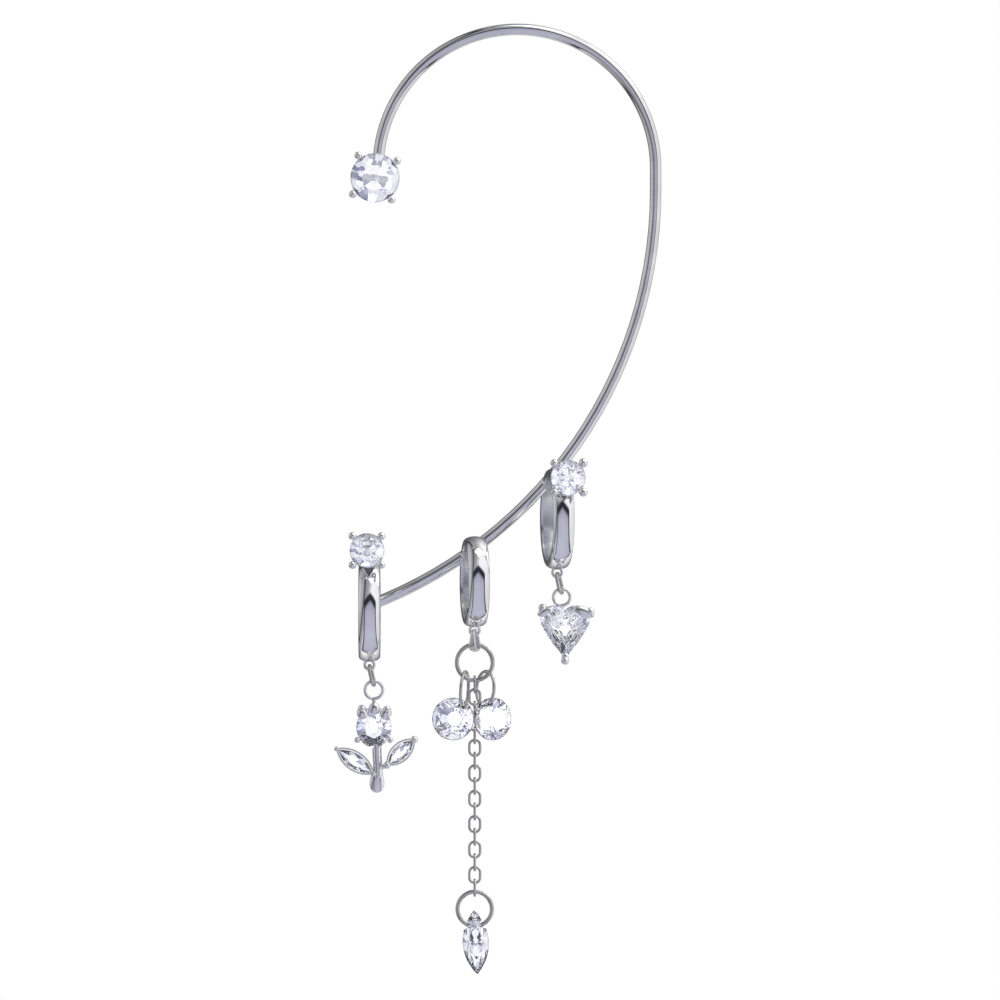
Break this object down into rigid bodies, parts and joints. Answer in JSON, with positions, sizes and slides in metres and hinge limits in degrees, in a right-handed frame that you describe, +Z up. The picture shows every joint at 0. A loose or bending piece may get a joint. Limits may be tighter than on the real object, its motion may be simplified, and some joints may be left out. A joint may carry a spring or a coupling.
{
  "type": "ear cuff",
  "caption": "Over-ear cuff: a round polished wire hooks over the ear and carries small hoops with hanging drops of clear cut stones, a flower, a heart and a short chain.",
  "frame": {"origin": "underside of the wire at the top of its bow, where it rests on the root of the ear", "axes": "+Z up, as worn; +X towards the back of the ear; -Y away from the head, the side the stones face"},
  "size_m": [0.0326, 0.0122, 0.0951],
  "materials": {
    "steel": "mirror polished steel",
    "crystal": "clear faceted stone, polished"
  },
  "bodies": {
    "root": {"ear_wire": "steel", "top_stone": "crystal", "left_hoop_stone": "crystal", "right_hoop_stone": "crystal", "tulip_link": "steel", "tulip_setting": "steel", "tulip_stone": "crystal", "left_leaf_stone": "crystal", "right_leaf_stone": "crystal", "heart_link": "steel", "heart_setting": "steel", "heart_stone": "crystal", "bail": "steel", "upper_ring": "steel", "left_stone_ring": "steel", "left_round_stone": "crystal", "right_stone_ring": "steel", "right_round_stone": "crystal", "chain_link_01": "steel", "chain_link_02": "steel", "chain_link_03": "steel", "chain_link_04": "steel", "chain_link_05": "steel", "chain_link_06": "steel", "chain_link_07": "steel", "chain_link_08": "steel", "chain_link_09": "steel", "chain_link_10": "steel", "chain_link_11": "steel", "chain_link_12": "steel", "chain_link_13": "steel", "chain_link_14": "steel", "chain_link_15": "steel", "chain_link_16": "steel", "chain_link_17": "steel", "lower_ring": "steel", "marquise_stone": "crystal"}
  },
  "joints": []
}
